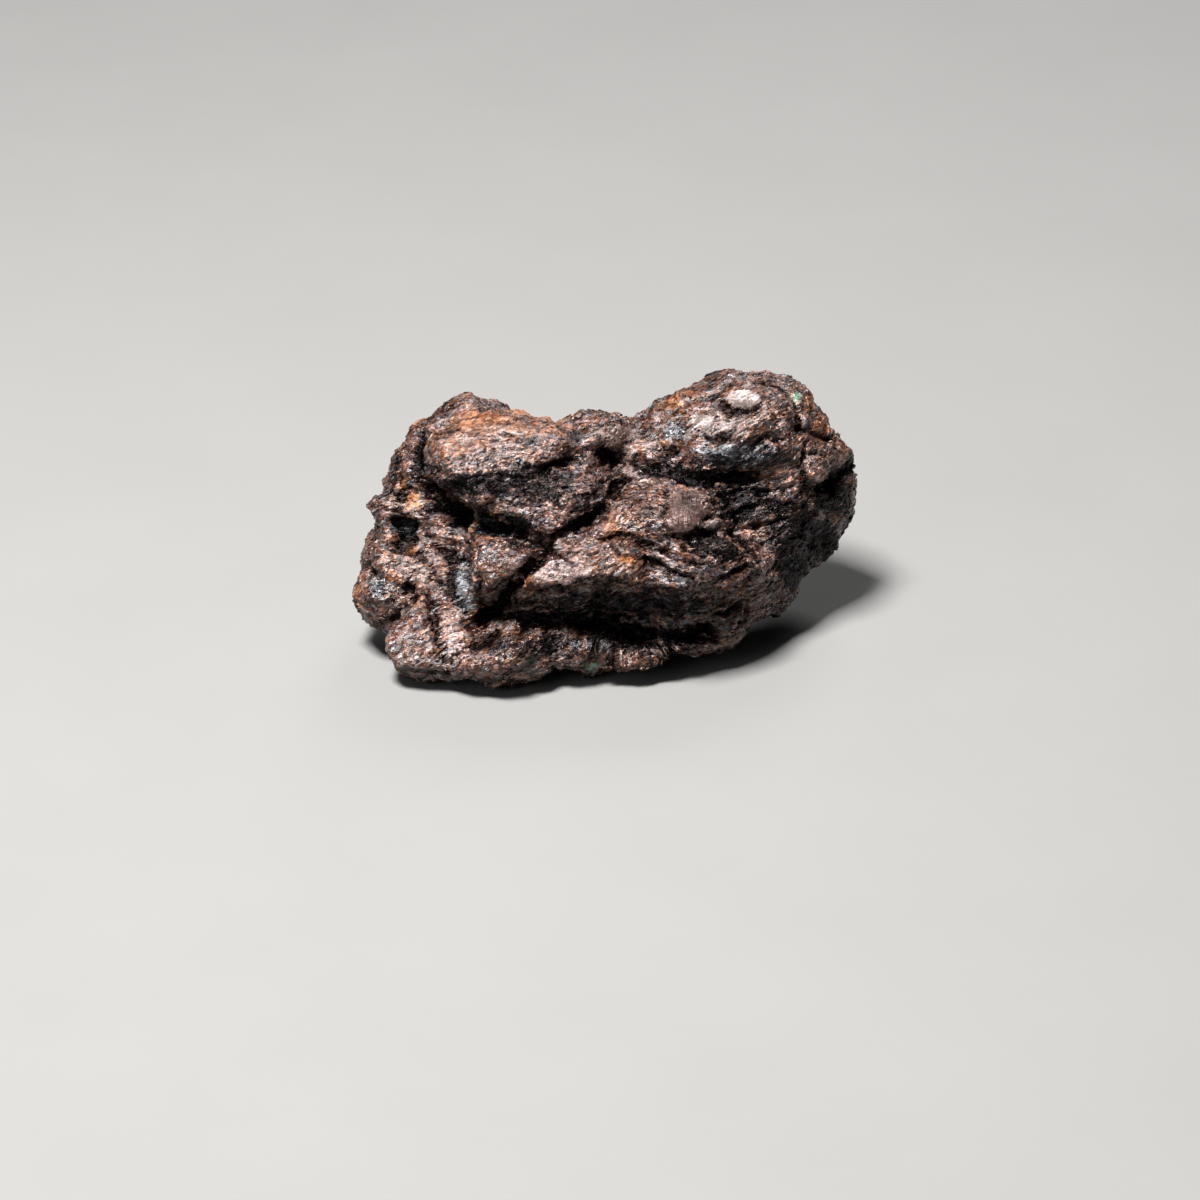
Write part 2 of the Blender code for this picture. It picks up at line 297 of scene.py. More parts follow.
STROKES = (
    Stroke("flake_line", ((437, 470), (455, 478), (478, 480), (500, 477), (522, 483)), 0.35, 0.3, 0.36, 0.9),
    Stroke("lobe_dent", ((459, 487), (474, 493), (490, 489), (506, 489)), 0.4, 0.35, 0.1, 0.8),
    Stroke("lobe_end", ((420, 433), (418, 450), (421, 470), (427, 485), (438, 500), (452, 508)), 0.4, 0.5, -0.3, 1.0),
    Stroke("lobe_foot", ((452, 508), (470, 517), (500, 527), (530, 538), (548, 549)), 0.45, 0.5, 0.4, 1.2),
    Stroke("second_ledge", ((470, 507), (492, 506), (522, 503), (553, 511), (572, 512)), 0.3, 0.15, 0.3, 0.9),
    Stroke("apron_line", ((545, 472), (575, 458), (592, 450)), 0.3, 0.3, 0.2, 0.9),
    Stroke("saddle_undercut", ((606, 455), (625, 459), (645, 465), (664, 467), (690, 478), (716, 483), (745, 481)),
           0.5, 0.6, 0.35, 1.3),
    Stroke("saddle_gully", ((624, 472), (611, 482), (602, 492), (590, 502)), 0.35, 0.4, 0.25, 1.0),
    Stroke("gully", ((622, 478), (612, 496), (600, 512), (580, 527), (560, 538), (545, 553), (530, 570), (516, 586),
                     (500, 604), (482, 622)), 0.38, 0.8, -0.3, 1.2),
    Stroke("ledge_edge", ((508, 600), (530, 590), (552, 590), (574, 583), (598, 576), (626, 579), (650, 588),
                          (680, 592), (716, 588)), 0.3, 0.0, 0.55, 1.1),
    Stroke("ledge_top_line", ((531, 571), (545, 559), (566, 556), (590, 560), (604, 552)), 0.25, 0.15, -0.25, 0.8),
    Stroke("lip_groove", ((508, 612), (520, 617), (548, 620), (582, 622), (610, 624), (633, 631), (660, 633),
                          (684, 634), (704, 626)), 0.4, 0.45, 0.25, 1.0),
    Stroke("lip_line", ((528, 664), (545, 655), (562, 650), (584, 660), (604, 663), (640, 652)), 0.25, 0.2, 0.2, 0.8),
    Stroke("flank_crack", ((470, 540), (479, 550), (482, 575), (485, 592), (486, 606), (481, 622)),
           0.25, 0.35, 0.25, 0.9),
    Stroke("plate_crack", ((456, 560), (452, 580), (458, 600), (470, 612)), 0.2, 0.2, 0.2, 0.8),
    Stroke("vee_groove", ((430, 600), (437, 618), (443, 638), (450, 655)), 0.28, 0.35, -0.15, 0.8),
    Stroke("block_crack", ((389, 621), (396, 616), (408, 607), (418, 598)), 0.2, 0.35, 0.3, 1.0),
    Stroke("block_lip", ((410, 669), (430, 674), (450, 673)), 0.3, 0.3, 0.2, 0.8),
    Stroke("front_step", ((481, 622), (500, 616), (520, 617), (525, 628), (512, 640), (496, 650), (480, 668)),
           0.3, 0.3, -0.3, 1.0),
    Stroke("front_facet", ((480, 640), (498, 628), (506, 640), (520, 634)), 0.2, 0.2, 0.25, 0.7),
    Stroke("grain_rim_low", ((664, 534), (676, 541), (690, 541), (702, 530), (708, 518)), 0.25, 0.3, 0.12, 0.7),
    Stroke("grain_rim_left", ((664, 534), (660, 515), (666, 496)), 0.2, 0.22, 0.06, 0.7),
    Stroke("shard_shadow", ((700, 533), (716, 531), (730, 533)), 0.3, 0.45, 0.2, 0.8),
    Stroke("wave_1", ((600, 540), (622, 536), (648, 545), (672, 556), (694, 562)), 0.2, 0.32, 0.34, 0.7),
    Stroke("wave_2", ((620, 556), (645, 560), (668, 572), (690, 580)), 0.2, 0.3, 0.3, 0.7),
    Stroke("wave_3", ((676, 592), (700, 585), (722, 577), (745, 566)), 0.2, 0.36, 0.36, 0.7),
    Stroke("wave_4", ((690, 606), (712, 597), (738, 584), (756, 571)), 0.2, 0.36, 0.34, 0.7),
    Stroke("wave_5", ((700, 622), (722, 612), (742, 600)), 0.2, 0.3, 0.3, 0.7),
    Stroke("streak_1", ((715, 498), (740, 490), (770, 493), (788, 487)), 0.2, 0.32, 0.3, 0.7),
    Stroke("streak_2", ((735, 512), (760, 505), (785, 506)), 0.2, 0.3, 0.28, 0.7),
    Stroke("streak_3", ((740, 530), (760, 527), (780, 520)), 0.2, 0.3, 0.28, 0.7),
    Stroke("flank_ridge", ((799, 496), (799, 526), (781, 543), (767, 567), (756, 582), (736, 622)),
           0.3, 0.0, -0.4, 1.0),
    Stroke("knob_crease", ((797, 431), (810, 434), (828, 438)), 0.25, 0.4, 0.2, 0.8),
    Stroke("knob_under", ((800, 492), (815, 490), (830, 478), (846, 468), (858, 466)), 0.35, 0.4, 0.35, 1.0),
    Stroke("knob_side", ((803, 448), (798, 468), (801, 490)), 0.3, 0.4, -0.2, 0.9),
    Stroke("knob_ring", ((808, 456), (820, 455), (829, 466), (826, 480), (812, 486)), 0.2, 0.3, -0.1, 0.6),
    Stroke("band_top", ((676, 445), (700, 441), (730, 444), (742, 434), (760, 432), (782, 444)), 0.25, 0.2, 0.25, 0.9),
    Stroke("band_facet", ((742, 468), (752, 450), (766, 442), (790, 447)), 0.25, 0.25, -0.25, 0.9),
    Stroke("lobe_crease_1", ((505, 437), (530, 446), (552, 455), (572, 458)), 0.2, 0.15, 0.12, 0.8),
    Stroke("lobe_crease_2", ((567, 414), (575, 430), (573, 446), (585, 452)), 0.2, 0.08, -0.08, 0.8),
    Stroke("lobe_crease_3", ((450, 428), (476, 436), (498, 432), (520, 420)), 0.2, 0.12, 0.1, 0.8),
    Stroke("cap_crease", ((668, 418), (690, 404), (716, 398), (726, 385), (742, 380)), 0.25, 0.25, -0.2, 0.9),
    Stroke("pale_grain_rim", ((722, 403), (728, 411), (742, 415), (757, 411), (762, 402)), 0.25, 0.3, 0.1, 0.6),
    Stroke("cap_swirl_1", ((752, 384), (775, 386), (792, 402), (798, 422)), 0.2, 0.26, 0.22, 0.7),
    Stroke("cap_swirl_2", ((756, 374), (782, 380), (806, 400), (812, 420)), 0.2, 0.26, 0.22, 0.7),
    Stroke("left_ridge", ((372, 565), (384, 578), (392, 590), (398, 602)), 0.25, 0.25, 0.2, 0.8),
    Stroke("left_facet", ((398, 520), (410, 528), (420, 524)), 0.25, 0.25, 0.2, 0.7),
    Stroke("slope_line_1", ((398, 545), (416, 552), (434, 566), (446, 582)), 0.25, 0.2, 0.2, 0.8),
    Stroke("slope_line_2", ((424, 530), (440, 545), (452, 560)), 0.25, 0.2, 0.2, 0.8),
    Stroke("flank_rill_1", ((396, 450), (390, 470), (388, 492)), 0.25, 0.25, 0.15, 0.7),
    Stroke("flank_rill_2", ((408, 448), (403, 468), (400, 488)), 0.25, 0.25, 0.15, 0.7),
)

BOSSES = (
    Boss("round_grain", (684, 514), (20, 26), -0.25, 8.0, 0.85),
    Boss("pebble_facet", (631, 474), (12, 8), 0.3, 10.0, 0.6),
    Boss("pale_grain", (741, 402), (19, 9), 0.12, -4.0, 0.95),
    Boss("brown_grain", (486, 500), (9, 7), 0.3, 0.0, 0.5),
    Boss("white_shard", (708, 526), (9, 4), 0.35, 20.0, 0.8),
    Boss("knob_grain", (815, 471), (13, 14), 0.25),
    Boss("bright_ledge", (564, 572), (34, 15), 0.1, 8.0, 0.3),
    Boss("lip_patch", (595, 646), (22, 10), 0.25, -3.0, 0.6),
    Boss("steel_hollow", (382, 584), (10, 17), -0.25, 25.0),
    Boss("lobe_face", (512, 434), (88, 30), 0.0, -6.0, 0.55),
    Boss("lobe_back", (455, 408), (40, 14), 0.0, 0.0, 0.5),
    Boss("block_face", (416, 648), (26, 28), 0.0, 0.0, 0.45),
    Boss("cap_face", (740, 408), (60, 30), 0.0, 0.0, 0.5),
    Boss("saddle_face", (618, 438), (34, 18), 0.0, 0.0, 0.6),
    Boss("slope_face", (420, 565), (34, 40), 0.0, 0.0, 0.3),
    Boss("rusty_pit", (407, 494), (8, 6), -0.4, 30.0),
    Boss("red_pit", (412, 591), (6, 5), -0.5),
    Boss("lobe_hollow", (413, 461), (6, 7), -0.3),
    Boss("facet_hollow", (410, 527), (10, 6), -0.25, -20.0),
    Boss("brown_hollow", (413, 539), (9, 6), -0.25, -20.0),
    Boss("dark_hollow", (492, 527), (40, 10), -0.25, -6.0),
    Boss("cap_hollow", (750, 450), (22, 9), -0.25, 30.0),
    Boss("rust_spot", (513, 657), (9, 7), 0.15),
    Boss("cap_flake_1", (688, 426), (7, 8), 0.22, 30.0, 0.8),
    Boss("cap_flake_2", (704, 425), (6, 9), 0.25, -20.0, 0.8),
    Boss("cap_flake_3", (722, 432), (8, 8), 0.25, 10.0, 0.8),
    Boss("plate_1", (470, 585), (11, 18), 0.2, 10.0),
    Boss("plate_2", (492, 592), (7, 14), 0.2, -15.0),
    Boss("plate_3", (459, 628), (16, 24), 0.15, 15.0, 0.5),
)

PATCHES = (
    Patch(Tone.RUST, (478, 424), (34, 14), 0.9),
    Patch(Tone.RUST, (530, 428), (50, 18), 0.55),
    Patch(Tone.OCHRE, (466, 418), (16, 6), 0.50, 15.0),
    Patch(Tone.OCHRE, (563, 437), (8, 7), 0.43),
    Patch(Tone.RUST, (455, 450), (26, 14), 0.5),
    Patch(Tone.RUST, (402, 478), (8, 24), 0.6),
    Patch(Tone.OCHRE, (416, 500), (10, 13), 0.72, 20.0),
    Patch(Tone.OCHRE, (416, 551), (6, 7), 0.72),
    Patch(Tone.OCHRE, (397, 578), (5, 9), 0.65, 25.0),
    Patch(Tone.RUST, (360, 588), (8, 24), 0.9),
    Patch(Tone.RUST, (425, 575), (30, 30), 0.35),
    Patch(Tone.RUST, (450, 530), (24, 14), 0.5),
    Patch(Tone.RUST, (483, 590), (6, 30), 0.5),
    Patch(Tone.RUST, (532, 585), (7, 12), 0.8),
    Patch(Tone.RUST, (540, 570), (10, 8), 0.4),
    Patch(Tone.OCHRE, (628, 563), (14, 6), 0.65, -20.0),
    Patch(Tone.RUST, (610, 527), (7, 18), 0.7),
    Patch(Tone.RUST, (600, 560), (40, 14), 0.35),
    Patch(Tone.OCHRE, (633, 448), (5, 5), 0.50),
    Patch(Tone.RUST, (641, 453), (5, 5), 0.8),
    Patch(Tone.RUST, (672, 452), (16, 3), 0.7, -35.0),
    Patch(Tone.RUST, (680, 400), (34, 10), 0.5, 30.0),
    Patch(Tone.RUST, (812, 400), (8, 10), 0.8),
    Patch(Tone.RUST, (820, 430), (14, 16), 0.9),
    Patch(Tone.RUST, (796, 518), (8, 16), 0.6),
    Patch(Tone.RUST, (513, 657), (10, 9), 0.7),
    Patch(Tone.RUST, (615, 655), (10, 10), 0.8),
    Patch(Tone.RUST, (486, 500), (10, 8), 0.45),
    Patch(Tone.RUST, (740, 490), (50, 8), 0.35),
    Patch(Tone.GREEN, (795, 398), (4, 8), 0.9),
    Patch(Tone.GREEN, (591, 667), (10, 5), 0.6),
    Patch(Tone.OCHRE, (840, 520), (12, 12), 0.36),
    Patch(Tone.STEEL, (408, 528), (14, 8), 0.9),
    Patch(Tone.STEEL, (382, 586), (10, 16), 0.7, 20.0),
    Patch(Tone.STEEL, (426, 455), (9, 24), 0.6),
    Patch(Tone.STEEL, (468, 590), (13, 30), 0.8),
    Patch(Tone.STEEL, (490, 527), (52, 12), 0.7),
    Patch(Tone.STEEL, (590, 444), (14, 14), 0.45),
    # Painted sheen and light on the saddle.
    Patch(Tone.LIT_AND_PALE, (620, 440), (26, 16), 0.6),
    Patch(Tone.STEEL, (675, 433), (14, 12), 0.8),
    Patch(Tone.STEEL, (735, 458), (56, 14), 0.7),
    Patch(Tone.STEEL, (632, 475), (14, 9), 0.6),
    Patch(Tone.STEEL, (595, 646), (24, 11), 0.9),
    Patch(Tone.STEEL, (680, 575), (50, 14), 0.4),
    Patch(Tone.STEEL, (418, 648), (24, 24), 0.4),
    Patch(Tone.CRYSTAL, (742, 402), (17, 9), 1.0, -4.0),
    Patch(Tone.CRYSTAL, (697, 424), (6, 8), 1.0, 20.0),
    Patch(Tone.CRYSTAL, (707, 428), (5, 8), 0.9, -25.0),
    Patch(Tone.CRYSTAL, (688, 437), (5, 5), 0.9, 40.0),
    Patch(Tone.CRYSTAL, (726, 428), (9, 6), 0.9, 30.0),
    Patch(Tone.CRYSTAL, (735, 436), (5, 4), 0.8),
    Patch(Tone.CRYSTAL, (708, 527), (8, 3), 1.0, 20.0),
    Patch(Tone.CRYSTAL, (720, 514), (7, 2), 0.9, 12.0),
    # Pale patches: mostly painted light on the faces that the lamp lights, partly the iron's own pale tone, as on the
    # lip patch.
    Patch(Tone.LIT_AND_PALE, (712, 422), (40, 16), 0.45),
    Patch(Tone.LIT_AND_PALE, (648, 450), (9, 8), 0.8),
    Patch(Tone.LIT_AND_PALE, (632, 475), (12, 7), 0.7),
    Patch(Tone.LIT_AND_PALE, (564, 572), (32, 13), 0.65),
    Patch(Tone.LIT_AND_PALE, (418, 648), (26, 30), 0.35),
    Patch(Tone.LIT_AND_PALE, (459, 628), (20, 24), 0.45),
    Patch(Tone.LIT_AND_PALE, (500, 448), (80, 14), 0.45),
    Patch(Tone.LIT_AND_PALE, (440, 560), (36, 36), 0.3),
    Patch(Tone.LIT_AND_PALE, (595, 646), (20, 9), 0.5),
    Patch(Tone.GRAIN, (684, 514), (22, 28), 1.0),
    Patch(Tone.LIT_AND_PALE, (812, 470), (16, 18), 0.4),
    Patch(Tone.LIT_AND_PALE, (658, 575), (8, 6), 0.6),
    # Painted shade: these patches blacken the undersides of the lobes, the hollows, the band under the right lobe, the
    # front wall and the right flank, where shade falls.
    Patch(Tone.DARK, (620, 606), (100, 16), 0.9),
    Patch(Tone.DARK, (540, 645), (60, 14), 0.8),
    Patch(Tone.DARK, (650, 640), (70, 12), 0.8),
    Patch(Tone.DARK, (810, 560), (40, 70), 1.1, 30.0),
    Patch(Tone.DARK, (835, 500), (26, 20), 0.9),
    Patch(Tone.DARK, (715, 548), (36, 20), 0.85),
    Patch(Tone.DARK, (748, 505), (42, 22), 0.92),
    Patch(Tone.DARK, (690, 477), (60, 8), 1.0),
    Patch(Tone.DARK, (655, 469), (26, 8), 1.0),
    Patch(Tone.DARK, (480, 488), (52, 12), 1.0),
    Patch(Tone.DARK, (540, 488), (40, 26), 0.88),
    Patch(Tone.DARK, (395, 468), (8, 30), 0.85),
    Patch(Tone.DARK, (420, 460), (7, 34), 0.8, -8.0),
    Patch(Tone.DARK, (455, 510), (40, 8), 0.9),
    Patch(Tone.DARK, (495, 526), (50, 12), 0.9),
    Patch(Tone.DARK, (478, 521), (12, 12), 1.1),
    Patch(Tone.DARK, (590, 505), (14, 30), 0.7, -30.0),
    Patch(Tone.DARK, (770, 460), (20, 12), 0.8),
    Patch(Tone.DARK, (718, 464), (36, 10), 0.75),
)


def beside(spots: Array, line: Array) -> tuple[Array, Array]:
    """How far spots are from a line and on which side.

    For each stretch of the line the nearest point is the foot of the perpendicular, held to the stretch's ends;
    the nearest stretch counts.

    Args:
        spots: millimetres right and up, two to a row.
        line: the line's points in the same measure.

    Returns:
        The distance, and +1 to the line's left or -1 to its right.
    """
    nearest = np.full(len(spots), np.inf)
    side = np.zeros(len(spots))
    for start, end in zip(line[:-1], line[1:]):
        run = end - start
        out = spots - start
        share = np.clip(out @ run / (run @ run), 0.0, 1.0)
        gap = out - share[:, None] * run
        away = np.hypot(gap[:, 0], gap[:, 1])
        closer = away < nearest
        nearest = np.where(closer, away, nearest)
        side = np.where(closer, np.sign(run[0] * gap[:, 1] - run[1] * gap[:, 0]), side)
    return nearest, side


def oval_reach(spots: Array, middle: Point2, radii: Point2, turn: float) -> Array:
    """How far out spots are in a turned oval: 0 at its middle and 1 on its rim."""
    angle = math.radians(turn)
    out = spots - SIGHT.spot(middle)
    along = (out[:, 0] * math.cos(angle) + out[:, 1] * math.sin(angle)) / (radii[0] * SIGHT.scale)
    across = (out[:, 1] * math.cos(angle) - out[:, 0] * math.sin(angle)) / (radii[1] * SIGHT.scale)
    return np.hypot(along, across)


def flow(places: Array) -> Array:
    """Coordinates that follow the layers of the iron.

    Right of the middle the layers sag like a hanging cloth: the height across them is the height in the sight
    plane less a log-cosh curve, which is straight far away and round at its lowest. Left of it they rise
    gently to the right.

    Args:
        places: millimetres in the stone's frame.

    Returns:
        Millimetres along the layers, across them and towards the camera.
    """
    spots = SIGHT.spots(places)
    sag = 1.9 * np.logaddexp((spots[:, 0] - 6.6) / 4.0, -(spots[:, 0] - 6.6) / 4.0)
    rise = 0.25 * spots[:, 0]
    share = eased((spots[:, 0] + 1.0) / 6.0)
    across = spots[:, 1] - share * sag - (1.0 - share) * rise
    return np.column_stack((spots[:, 0], across, places @ SIGHT.to_eye))


def calm_share(spots: Array) -> Array:
    """How much of the hackly break is smoothed away at each spot by the crystals' faces."""
    share = np.zeros(len(spots))
    for boss in BOSSES:
        if boss.calm:
            reach = oval_reach(spots, boss.middle, boss.radii, boss.turn)
            share = np.maximum(share, boss.calm * eased((1.1 - reach) * 5.0))
    return share


@dataclass(frozen=True)
class FlakeLayer:
    """Leaning flats of one size.

    A flake is `size` long, wide and deep, stands up to `height` high and leans by `lean`, and the seam around it
    is cut `seam` deep.
    """

    size: Point3
    height: float
    lean: float
    seam: float
    salt: int


@dataclass
class StoneSkin:
    """The skin of the whole fragment, wrapped round the solid and worked in relief from coarse to fine."""

    name: str = "meteorite_skin"
    cells: int = 128
    crowd: float = 0.28
    heart: Point3 = (0.0, 1.5, 8.6)
    spread: Point3 = (1.0, 0.66, 0.56)
    seed_radius: float = 2.5
    voxel: float = 0.3
    ease: int = 5
    settle: int = 6
    back_share: float = 0.8
    layers: tuple[FlakeLayer, ...] = (
        FlakeLayer((3.8, 2.2, 2.6), 0.12, 0.8, 0.0, 11),
        FlakeLayer((2.0, 0.9, 1.3), 0.10, 0.8, 0.04, 23),
        FlakeLayer((0.9, 0.5, 0.7), 0.085, 0.9, 0.04, 37),
        FlakeLayer((0.5, 0.36, 0.42), 0.06, 0.9, 0.0, 53),
    )

    def grid(self) -> tuple[Array, Array]:
        """The skin's net before it is wrapped: a cube's six faces, each a grid of two parameters.

        Each parameter runs from -1 to 1, and a tangent evens the squares. The faces share the cube's edges,
        so equal lattice points are joined. The directions are crowded towards the camera by adding a share of
        its direction before they are brought back to unit length.

        Returns:
            Unit directions, three to a row, and quads, four point numbers to a row.
        """
        n = self.cells
        first, second = np.meshgrid(np.arange(n + 1), np.arange(n + 1), indexing="ij")
        lattice = []
        for axis in range(3):
            for end in (0, n):
                cube = np.zeros((n + 1, n + 1, 3), dtype=np.int64)
                cube[..., axis] = end
                cube[..., (axis + 1) % 3] = first if end else second
                cube[..., (axis + 2) % 3] = second if end else first
                lattice.append(cube.reshape(-1, 3))
        lattice = np.concatenate(lattice)
        keys = (lattice[:, 0] * (n + 1) + lattice[:, 1]) * (n + 1) + lattice[:, 2]
        _, chosen, number = np.unique(keys, return_index=True, return_inverse=True)
        points = np.tan((lattice[chosen] / n * 2.0 - 1.0) * math.pi / 4.0)
        corner = (np.arange(n)[:, None] * (n + 1) + np.arange(n)[None, :]).ravel()
        quad = np.column_stack((corner, corner + n + 1, corner + n + 2, corner + 1))
        quads = np.concatenate([quad + face * (n + 1) ** 2 for face in range(6)])
        return unit(unit(points) + self.crowd * SIGHT.to_eye), number.ravel()[quads]

    def core(self) -> bpy.types.Object:
        """A smoothed copy of the CAD solid for the net to settle on."""
        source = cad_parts[STONE_NODE]
        joined = bmesh.new()
        joined.from_mesh(source.data)
        bmesh.ops.remove_doubles(joined, verts=joined.verts, dist=1e-6)
        mesh = bpy.data.meshes.new("stone_core")
        joined.to_mesh(mesh)
        joined.free()
        core = bpy.data.objects.new("stone_core", mesh)
        bpy.context.scene.collection.objects.link(core)
        skin = core.modifiers.new("Even", "REMESH")
        skin.mode = "VOXEL"
        skin.voxel_size = self.voxel * MM
        ease = core.modifiers.new("Ease", "SMOOTH")
        ease.factor = 0.5
        ease.iterations = self.ease
        return core

    def wrapped(self) -> bpy.types.Object:
        """The net blown out from the stone's heart on to the smoothed solid, then evened out on it."""
        directions, quads = self.grid()
        rays = unit(directions * np.array(self.spread))
        start = np.array(self.heart) + rays * self.seed_radius
        skin = mesh_object(self.name, start, quads)
        core = self.core()
        blow = skin.modifiers.new("Blow", "SHRINKWRAP")
        blow.target = core
        blow.wrap_method = "PROJECT"
        blow.use_negative_direction = False
        blow.use_positive_direction = True
        for step in range(self.settle):
            even = skin.modifiers.new(f"Even{step}", "SMOOTH")
            even.factor = 0.5
            even.iterations = 4
            settle = skin.modifiers.new(f"Settle{step}", "SHRINKWRAP")
            settle.target = core
            settle.wrap_method = "NEAREST_SURFACEPOINT"
        bake(skin)
        bpy.data.objects.remove(core)
        return skin

    def build(self) -> bpy.types.Object:
        """Wraps the net, works the relief and writes the masks that the finish reads."""
        skin = self.wrapped()
        mesh = skin.data
        places = read_places(mesh)
        facing = eased((read_normals(mesh) @ SIGHT.to_eye - 0.05) / 0.35)
        spots = SIGHT.spots(places)
        start = places.copy()
        places = self.raised(mesh, places, self.drawn_relief(spots) * facing)
        wild = 1.0 + self.back_share * (1.0 - facing) - calm_share(spots) * facing
        places = self.raised(mesh, places, self.broken_relief(places) * wild)
        floor = places[:, 2] < 0.0
        places[floor, 2] = 0.0
        write_places(mesh, places)
        self.write_masks(mesh, start, places, facing)
        mesh.shade_smooth()
        return skin

    def raised(self, mesh: bpy.types.Mesh, places: Array, height: Array) -> Array:
        """Moves the points along the skin's normals and returns where they are."""
        moved = places + read_normals(mesh) * height[:, None]
        write_places(mesh, moved)
        return moved

    def drawn_relief(self, spots: Array) -> Array:
        """The height that the drawn strokes and bosses give.

        A crease's depth falls off as a bell curve of the way from its line, and only the deepest crease
        counts. A step is half up on the left and half down on the right and fades with distance. A boss is
        level inside and eases to nothing at its rim.

        Args:
            spots: millimetres right and up in the sight plane.

        Returns:
            Millimetres along the normal.
        """
        wander = 0.2 * np.column_stack(
            [swells(np.column_stack((spots, np.zeros(len(spots)))) / 1.6, 301 + k, 2) for k in range(2)]
        )
        wandered = spots + wander
        height = np.zeros(len(spots))
        crease = np.zeros(len(spots))
        for stroke in STROKES:
            away, side = beside(wandered, SIGHT.line(stroke.line))
            crease = np.maximum(crease, stroke.depth * np.exp(-((away / stroke.width) ** 2)))
            height += 0.5 * stroke.step * side * eased(away / 0.25) * np.exp(-away / stroke.fade)
        for boss in BOSSES:
            reach = oval_reach(spots + 0.5 * wander, boss.middle, boss.radii, boss.turn)
            height += boss.height * eased((1.15 - reach) * 3.5)
        return height - crease

    def broken_relief(self, places: Array) -> Array:
        """The height of the hackly break: leaning flakes of several sizes along the flow, and swellings."""
        along = flow(places)
        bent = along + 0.5 * np.column_stack([swells(places / 2.5, 401 + k, 2) for k in range(3)])
        height = 0.15 * swells(places / 3.0, 7, 3)
        for layer in self.layers:
            cells = flakes(bent / np.array(layer.size), layer.salt, layer.lean)
            height += layer.height * cells.flat - layer.seam * np.exp(-((cells.rim / 0.12) ** 2))
        return height

    def write_masks(self, mesh: bpy.types.Mesh, start: Array, places: Array, facing: Array) -> None:
        """Writes the attributes: the flow's coordinates, how sunk each point is, and a mask for each tone.

        Args:
            mesh: the skin's mesh.
            start: where its points were before the relief.
            places: where they are.
            facing: how far each point looks at the camera, 0 to 1.
        """
        spots = SIGHT.spots(start)
        patchy = swells(places / 0.9, 501, 3)
        # Two of these masks are painted: the drawn patches of the shade tone are painted shade and most drawn pale
        # patches are painted light; the mottles on the undrawn sides are the iron's own random tone.
        for tone in Tone:
            mask = np.zeros(len(places))
            for patch in PATCHES:
                if patch.tone is tone:
                    ragged = 0.1 if tone in (Tone.GRAIN, Tone.CRYSTAL) else 0.35
                    reach = oval_reach(spots, patch.middle, patch.radii, patch.turn) + ragged * patchy
                    mask = np.maximum(mask, patch.strength * eased((1.25 - reach) * 1.6))
            mask *= facing
            if tone in MOTTLES:
                mottle = MOTTLES[tone]
                high = eased((swells(places / mottle.size, mottle.salt, 3) - mottle.level) * 4.0)
                mask = np.maximum(mask, mottle.strength * high * (1.0 - facing))
            write_number(mesh, tone.value, mask)
        # The finish paints shade from these two: darker in the creases and on the faces that look down.
        write_number(mesh, "sunk", sunkenness(mesh, places))
        write_number(mesh, "under", eased((0.1 - read_normals(mesh)[:, 2]) / 0.7))
        write_number(mesh, "number", flakes(flow(start) / np.array(self.layers[2].size), self.layers[2].salt, 0.0).number)
        write_vector(mesh, "flow", flow(places))


def flow_slope(right: Array) -> Array:
    """How steeply the layers rise to the right in the sight plane, at places so far right of the origin."""
    share = eased((right + 1.0) / 6.0)
    return share * 0.475 * np.tanh((right - 6.6) / 4.0) + (1.0 - share) * 0.25


